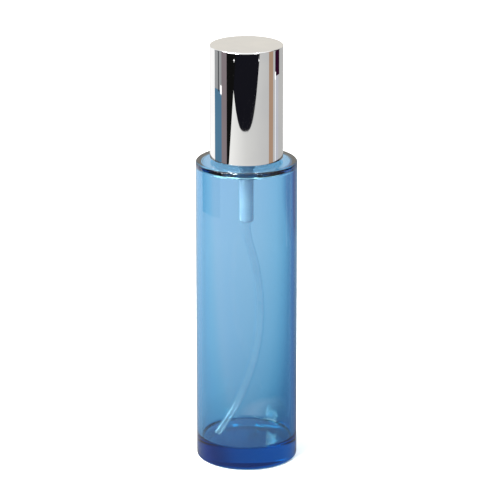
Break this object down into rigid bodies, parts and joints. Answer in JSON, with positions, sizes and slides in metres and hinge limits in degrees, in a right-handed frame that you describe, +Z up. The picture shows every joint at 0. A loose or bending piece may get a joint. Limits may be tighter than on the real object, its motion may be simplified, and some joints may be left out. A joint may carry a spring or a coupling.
{
  "type": "perfume atomiser",
  "caption": "Slim cylindrical perfume atomiser: blue glass bottle with a heavy base, screw-on fine mist pump with curved dip tube, and a straight mirror-silver pull-off overcap.",
  "frame": {"origin": "centre of the bottle's base, on the surface it stands on", "axes": "+Z up along the bottle's axis; the nozzle sprays along -Y"},
  "size_m": [0.033, 0.033, 0.1392],
  "materials": {
    "blue_glass": "clear polished glass, tinted blue through its thickness",
    "polished_metal": "mirror-polished silver anodised aluminium",
    "white_plastic": "moulded natural-white polypropylene",
    "clear_plastic": "translucent natural polyethylene",
    "soft_seal": "soft pale elastomer",
    "spring_steel": "bright stainless steel"
  },
  "bodies": {
    "bottle": {"bottle": "blue_glass"},
    "pump": {"pump_housing": "clear_plastic", "pump_retainer": "white_plastic", "stem_seal": "soft_seal", "neck_gasket": "soft_seal", "dip_tube": "clear_plastic", "return_spring": "spring_steel"},
    "collar": {"collar_insert": "white_plastic", "collar_shell": "polished_metal"},
    "overcap": {"overcap_shell": "polished_metal", "overcap_liner": "white_plastic"},
    "plunger": {"stem": "white_plastic", "piston_seat": "white_plastic"},
    "piston": {"piston": "white_plastic"},
    "ball": {"inlet_ball": "spring_steel"},
    "actuator": {"actuator_button": "white_plastic", "actuator_shell": "polished_metal", "nozzle_insert": "white_plastic"}
  },
  "joints": [
    {"name": "pump_lift", "type": "slide", "parent": "bottle", "child": "pump", "axis": [0, 0, 1], "range_m": [0, 0.0041]},
    {"name": "collar_turn", "type": "hinge", "parent": "pump", "child": "collar", "pos_m": [0, 0, 0.1105], "axis": [0, 0, 1], "range_deg": [0, 450]},
    {"name": "overcap_pull", "type": "slide", "parent": "collar", "child": "overcap", "axis": [0, 0, 1], "range_m": [0, 0.045]},
    {"name": "pump_press", "type": "slide", "parent": "pump", "child": "plunger", "axis": [0, 0, 1], "range_m": [-0.004, 0], "stiffness_N_per_m": 900, "springref_m": 0.0035, "deforming": ["return_spring"]},
    {"name": "piston_slip", "type": "slide", "parent": "plunger", "child": "piston", "axis": [0, 0, 1], "range_m": [0, 0.00065]},
    {"name": "ball_lift", "type": "slide", "parent": "pump", "child": "ball", "axis": [0, 0, 1], "range_m": [0, 0.001]},
    {"name": "nozzle_aim", "type": "hinge", "parent": "plunger", "child": "actuator", "pos_m": [0, 0, 0.1275], "axis": [0, 0, 1], "continuous": true}
  ],
  "couplings": [
    {"joint": "pump_lift", "follows": "collar_turn", "m_per_rad": 0.00050532}
  ]
}
